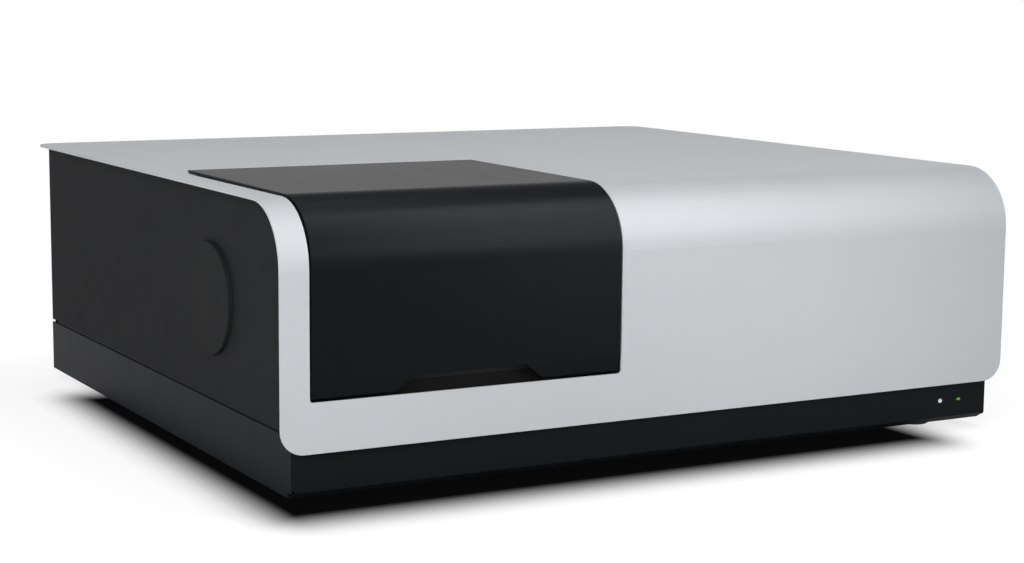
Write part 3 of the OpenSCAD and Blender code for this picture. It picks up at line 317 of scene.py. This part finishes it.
def glass(name, colour):
    """Clear or tinted glass."""
    mat, tree, shader = new_material(name)
    shader.inputs["Transmission Weight"].default_value = 1.0
    shader.inputs["IOR"].default_value = GLASS_IOR
    tint(tree, shader, noise(tree, GLASS_COLOUR_CLOUDS), scaled(colour, GLASS_SHADE), colour)
    gloss = between(tree, noise(tree, GLASS_GLOSS_CLOUDS), *GLASS_ROUGHNESS)
    tree.links.new(gloss, shader.inputs["Roughness"])
    return mat


def lens_light(name, colour, strength):
    """A small diffusing lens, lit from behind."""
    mat, tree, shader = new_material(name)
    tint(tree, shader, noise(tree, LENS_GRAINS), scaled(colour, LENS_SHADE), colour)
    shader.inputs["Roughness"].default_value = LENS_ROUGHNESS
    shader.inputs["Emission Color"].default_value = (*colour, 1)
    shader.inputs["Emission Strength"].default_value = strength
    return mat


def make_materials():
    """One material for each of the record's slots."""
    return {
        "cover_paint": paint("cover_paint", (0.50, 0.515, 0.535), 0.45, 0.7, 0.006,
                             metallic=0.05, vary=0.01, specular=0.07),
        "black_panel": paint("black_panel", (0.0170, 0.0178, 0.0185), 0.68, 0.5, 0.02, specular=0.03),
        "tray_paint": paint("tray_paint", (0.0060, 0.0072, 0.0085), 0.45, 0.6, 0.01, specular=0.04),
        "lid_paint": paint("lid_paint", (0.0040, 0.0052, 0.0064), 0.34, 0.6, 0.008, specular=0.047),
        "port_cover": paint("port_cover", (0.0150, 0.0158, 0.0162), 0.62, 0.5, 0.015, specular=0.03),
        "foot_rubber": paint("foot_rubber", (0.012, 0.012, 0.012), 0.8, 1.2, 0.05),
        "foam": paint("foam", (0.01, 0.01, 0.01), 0.95, 0.8, 0.2),
        "steel": metal("steel", (0.56, 0.57, 0.58), 0.28, 0.3, 0.004, (1, 12, 12)),
        "dark_sheet": paint("dark_sheet", (0.045, 0.047, 0.05), 0.45),
        "magnet": metal("magnet", (0.62, 0.62, 0.63), 0.15),
        "aluminium": metal("aluminium", (0.60, 0.61, 0.63), 0.34, 0.35, 0.005, (1, 8, 1)),
        "white_lens": lens_light("white_lens", (0.62, 0.66, 0.68), 0.15),
        "green_lens": lens_light("green_lens", (0.12, 0.34, 0.03), 0.35),
        "bench_plate": metal("bench_plate", (0.52, 0.53, 0.55), 0.36, 0.5, 0.006, (1, 10, 1)),
        "chamber_black": paint("chamber_black", (0.008, 0.008, 0.0085), 0.65, 0.4, 0.01, specular=0.06),
        "module_black": paint("module_black", (0.018, 0.018, 0.02), 0.42, 0.4, 0.008, metallic=0.3),
        "clear_glass": glass("clear_glass", (0.96, 0.98, 1.0)),
        "lens_glass": glass("lens_glass", (0.90, 0.95, 1.0)),
        "filter_glass": glass("filter_glass", (0.35, 0.62, 0.75)),
        "white_plastic": paint("white_plastic", (0.78, 0.78, 0.76), 0.4, 0.8, 0.01),
        "casting": paint("casting", (0.36, 0.37, 0.38), 0.5, 1.4, 0.06, metallic=0.7),
        "casting_lid": metal("casting_lid", (0.42, 0.43, 0.45), 0.4, 0.5, 0.006, (10, 1, 1)),
        "mirror_coating": metal("mirror_coating", (0.88, 0.9, 0.92), 0.03, 2.0, 0.0002),
        "mount_black": paint("mount_black", (0.02, 0.02, 0.022), 0.45, 0.4, 0.008, metallic=0.3),
        "grating": metal("grating", (0.55, 0.62, 0.8), 0.2, 0.2, 0.003, (1, 1, 40)),
        "coil": paint("coil", (0.09, 0.07, 0.045), 0.5, 0.8, 0.05),
        "motor_black": paint("motor_black", (0.022, 0.022, 0.024), 0.5, 0.7, 0.03),
        "switch_black": paint("switch_black", (0.012, 0.012, 0.013), 0.25, 0.9, 0.006),
        "black_plastic": paint("black_plastic", (0.014, 0.014, 0.015), 0.5, 0.6, 0.03),
        "supply_case": metal("supply_case", (0.52, 0.53, 0.54), 0.38, 0.6, 0.006, (8, 1, 1)),
        "circuit_board": paint("circuit_board", (0.012, 0.10, 0.045), 0.3, 0.9, 0.01, coat=0.4),
    }


# Pieces

def soften_edges(obj, width):
    """Welds the mesh into one skin and rounds its sharp edges a little, so that they catch the light."""
    weld = obj.modifiers.new("weld", "WELD")
    weld.merge_threshold = WELD_WITHIN
    edge = obj.modifiers.new("edge", "BEVEL")
    edge.width = width
    edge.segments = EDGE_SEGMENTS
    edge.limit_method = "ANGLE"
    edge.angle_limit = SHARP_FROM
    obj.modifiers.new("normals", "WEIGHTED_NORMAL").keep_sharp = True


def dress_nodes(materials):
    """Every CAD node takes its slot's material, and finely rounded edges where its finish has them."""
    for name, obj in nodes.items():
        obj.data.materials.clear()
        obj.data.materials.append(materials[slots[name]])
        if slots[name] in EDGE_MM and name not in PLAIN_EDGES:
            soften_edges(obj, EDGE_MM[slots[name]] / 1000)


def lid_shell(materials):
    """The sample lid with its lip tucked in less than the solid's, as the photograph shows it."""
    solid = nodes["sample_lid"]
    mesh = solid.data.copy()
    mesh.name = "lid_shell"
    shell = bpy.data.objects.new("lid_shell", mesh)
    bpy.context.scene.collection.objects.link(shell)
    for vert in mesh.vertices:
        below = LIP_KINK_Z - vert.co.z
        if below > 0:
            vert.co.y -= below * LIP_OUT
    mesh.materials.clear()
    mesh.materials.append(materials["lid_paint"])
    soften_edges(shell, EDGE_MM["lid_paint"] / 1000)
    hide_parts("sample_lid")
    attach(shell, "lid")


def socket_radius(i):
    """Distance of the hexagon socket's wall from its middle, at one of the screw's sides."""
    turn = math.radians(360 * i / SCREW_SIDES % 60 - 30)
    return SCREW_SOCKET / math.cos(turn)


def screw_mesh():
    """A button-head screw standing up from its origin, with a hexagon socket."""
    mesh = bpy.data.meshes.new("button_head")
    # Rings from the socket's floor up its wall, over the crown and down to the panel, as radius and height
    rings = [[(socket_radius(i), SCREW_SOCKET_FLOOR) for i in range(SCREW_SIDES)],
             [(socket_radius(i), SCREW_CROWN) for i in range(SCREW_SIDES)]]
    for step in range(SCREW_STEPS + 1):
        turn = math.radians(90 * step / SCREW_STEPS)
        radius = SCREW_R * (SCREW_FLAT + (1 - SCREW_FLAT) * math.sin(turn))
        height = SCREW_RIM + (SCREW_CROWN - SCREW_RIM) * math.cos(turn)
        rings.append([(radius, height)] * SCREW_SIDES)
    rings.append([(SCREW_R, 0.0)] * SCREW_SIDES)
    verts, faces = [], []
    for ring in rings:
        for i, (radius, height) in enumerate(ring):
            turn = 2 * math.pi * i / SCREW_SIDES
            verts.append((radius * math.cos(turn), radius * math.sin(turn), height))
    for row in range(len(rings) - 1):
        for i in range(SCREW_SIDES):
            j = (i + 1) % SCREW_SIDES
            base, top = row * SCREW_SIDES, (row + 1) * SCREW_SIDES
            faces.append((base + j, base + i, top + i, top + j))
    faces.append(tuple(range(SCREW_SIDES)))
    faces.append(tuple(reversed(range((len(rings) - 1) * SCREW_SIDES, len(rings) * SCREW_SIDES))))
    mesh.from_pydata(verts, [], faces)
    # The crown's curve and the rim are smooth; the socket, the flat top and the underside aren't
    for face in mesh.polygons:
        face.use_smooth = 2 * SCREW_SIDES <= min(face.vertices) and len(face.vertices) == 4
    return mesh


def rear_screws(materials):
    """Button-head screws round the rear panel's edge."""
    (west, _, low), (east, north, high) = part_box("rear_panel")
    mesh = screw_mesh()
    mesh.materials.append(materials["steel"])
    pitch = (east - west - 2 * SCREW_INSET) / (SCREW_COLUMNS - 1)
    xs = [west + SCREW_INSET + pitch * i for i in range(SCREW_COLUMNS)]
    places = [(x, z) for x in xs for z in (low + SCREW_INSET, high - SCREW_INSET)]
    places += [(x, (low + high) / 2) for x in (xs[0], xs[-1])]
    for count, (x, z) in enumerate(places, 1):
        screw = bpy.data.objects.new(f"rear_screw_{count}", mesh)
        screw.location = (x, north, z)
        screw.rotation_euler = (math.radians(-90), 0, 0)
        bpy.context.scene.collection.objects.link(screw)
        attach(screw, "chassis")


# Floor, world and lamps

def painted_contact_shade(tree):
    """Painted shadow: floor brightness by distance from the foot, near black close under it, white a hand's
    width off.
    """
    (west, south), (east, north) = SHADE_FOOT
    coords = tree.nodes.new("ShaderNodeTexCoord")
    centre = ((west + east) / 2, (south + north) / 2, 0)
    half = ((east - west) / 2, (north - south) / 2, 1)
    off = vector_math(tree, "SUBTRACT", coords.outputs["Object"], centre)
    off = vector_math(tree, "ABSOLUTE", off, (0, 0, 0))
    off = vector_math(tree, "SUBTRACT", off, half)
    off = vector_math(tree, "MAXIMUM", off, (0, 0, 0))
    away = length(tree, vector_math(tree, "DIVIDE", off, (*SHADE_REACH, 1)))
    ramp = tree.nodes.new("ShaderNodeValToRGB")
    tree.links.new(value_math(tree, "DIVIDE", away, SHADE_END), ramp.inputs["Fac"])
    while len(ramp.color_ramp.elements) < len(SHADE_STEPS):
        ramp.color_ramp.elements.new(0.5)
    for element, (place, level) in zip(ramp.color_ramp.elements, SHADE_STEPS):
        element.position = place / SHADE_END
        element.color = (level, level, level, 1)
    return ramp.outputs["Color"]


def make_floor():
    """A white floor with the object's shadow, cast by the lamps and deepened by a painted shade near the
    foot, plain white further off, and clear from below.
    """
    mesh = bpy.data.meshes.new("floor")
    corners = [(x * FLOOR_HALF, y * FLOOR_HALF, 0) for x, y in ((-1, -1), (1, -1), (1, 1), (-1, 1))]
    mesh.from_pydata(corners, [], [(0, 1, 2, 3)])
    floor = bpy.data.objects.new("floor", mesh)
    bpy.context.scene.collection.objects.link(floor)
    mat, tree, shader = new_material("floor_white")
    tree.nodes.remove(shader)
    # The painted shade darkens the lit floor's colour near the object and is the colour of its glow.
    shade = painted_contact_shade(tree)
    lit = tree.nodes.new("ShaderNodeBsdfDiffuse")
    near = mix_colour(tree, shade, BLACK, FLOOR_SEEN)
    tree.links.new(mix_colour(tree, seen(tree), FLOOR_PLAIN, near), lit.inputs["Color"])
    white = tree.nodes.new("ShaderNodeEmission")
    tree.links.new(shade, white.inputs["Color"])
    coords = tree.nodes.new("ShaderNodeTexCoord")
    away = length(tree, coords.outputs["Object"])
    share = smooth_between(tree, away, *FLOOR_FADE, FLOOR_GLOW, 1.0)
    share = value_math(tree, "MULTIPLY", share, seen(tree))
    top = mix_shader(tree, share, lit.outputs["BSDF"], white.outputs["Emission"])
    side = tree.nodes.new("ShaderNodeNewGeometry")
    clear = tree.nodes.new("ShaderNodeBsdfTransparent")
    surface = mix_shader(tree, side.outputs["Backfacing"], top, clear.outputs["BSDF"])
    tree.links.new(surface, tree.nodes["Material Output"].inputs["Surface"])
    floor.data.materials.append(mat)


def make_world():
    """Soft light all round; the world is seen as white, with a dimmer ceiling in mirrors and glass."""
    world = bpy.data.worlds.new("studio")
    bpy.context.scene.world = world
    world.use_nodes = True
    tree = world.node_tree
    soft = tree.nodes["Background"]
    soft.inputs["Color"].default_value = WORLD_COLOUR
    soft.inputs["Strength"].default_value = WORLD_LIGHT
    coords = tree.nodes.new("ShaderNodeTexCoord")
    height = tree.nodes.new("ShaderNodeSeparateXYZ")
    tree.links.new(coords.outputs["Generated"], height.inputs["Vector"])
    ceiling = smooth_between(tree, height.outputs["Z"], *CEILING_FROM, 1.0, CEILING_LIGHT)
    path = tree.nodes.new("ShaderNodeLightPath")
    white = tree.nodes.new("ShaderNodeBackground")
    white.inputs["Color"].default_value = WHITE
    level = value_math(tree, "MAXIMUM", ceiling, path.outputs["Is Camera Ray"])
    tree.links.new(level, white.inputs["Strength"])
    surface = mix_shader(tree, seen(tree), soft.outputs["Background"], white.outputs["Background"])
    tree.links.new(surface, tree.nodes["World Output"].inputs["Surface"])


def softbox(name, at, target, size, power, along=(0, 0, 1), gloss=True, diffuse=True):
    """An area lamp aimed at a point, its second size lying along a direction.

    Without gloss it shows in no reflection, and without diffuse it shows only in reflections.
    """
    data = bpy.data.lights.new(name, "AREA")
    data.shape = "RECTANGLE"
    data.size, data.size_y = size
    data.energy = power
    lamp = bpy.data.objects.new(name, data)
    back = (Vector(at) - Vector(target)).normalized()
    side = Vector(along).cross(back).normalized()
    turn = Matrix((side, back.cross(side), back)).transposed()
    lamp.matrix_world = Matrix.Translation(at) @ turn.to_4x4()
    lamp.visible_camera = False
    lamp.visible_diffuse = diffuse
    lamp.visible_glossy = gloss
    bpy.context.scene.collection.objects.link(lamp)


def make_lights():
    """Lamps at the front left and overhead, some that glance off bend and front, two for rear and right."""
    softbox("key", (-1.25, -2.15, 1.15), (-0.1, -0.4, 0.15), (1.1, 0.9), 21)
    softbox("top", (0.0, 0.3, 3.2), (0, 0.1, 0.3), (2.4, 2.4), 36, (0, 1, 0))
    softbox("bend", (0.9, -0.7, 2.6), (0.05, -0.4, 0.3), (0.9, 0.7), 18, (0, 1, 0))
    softbox("strip", (0.62, -1.42, 1.17), (-0.15, -0.38, 0.27), (0.7, 1.9), 42, (0, 0.6, 0.8),
            diffuse=False)
    softbox("low", (0.27, -0.88, 0.20), (0.22, -0.43, 0.17), (0.50, 0.10), 0.5)
    softbox("left", (-2.2, -1.5, 1.0), (-0.45, -0.1, 0.15), (1.2, 1.2), 28)
    softbox("rear", (-0.5, 2.9, 0.34), (0.0, 0.4, 0.17), (1.8, 0.6), 48, gloss=False)
    softbox("far_side", (3.0, 0.5, 0.34), (0.46, 0.0, 0.17), (1.8, 0.6), 45, gloss=False)


# The scene

make_camera()
materials = make_materials()
dress_nodes(materials)
lid_shell(materials)
rear_screws(materials)
make_floor()
make_world()
make_lights()
bpy.context.scene.view_settings.view_transform = "Standard"

bpy.context.view_layer.update()
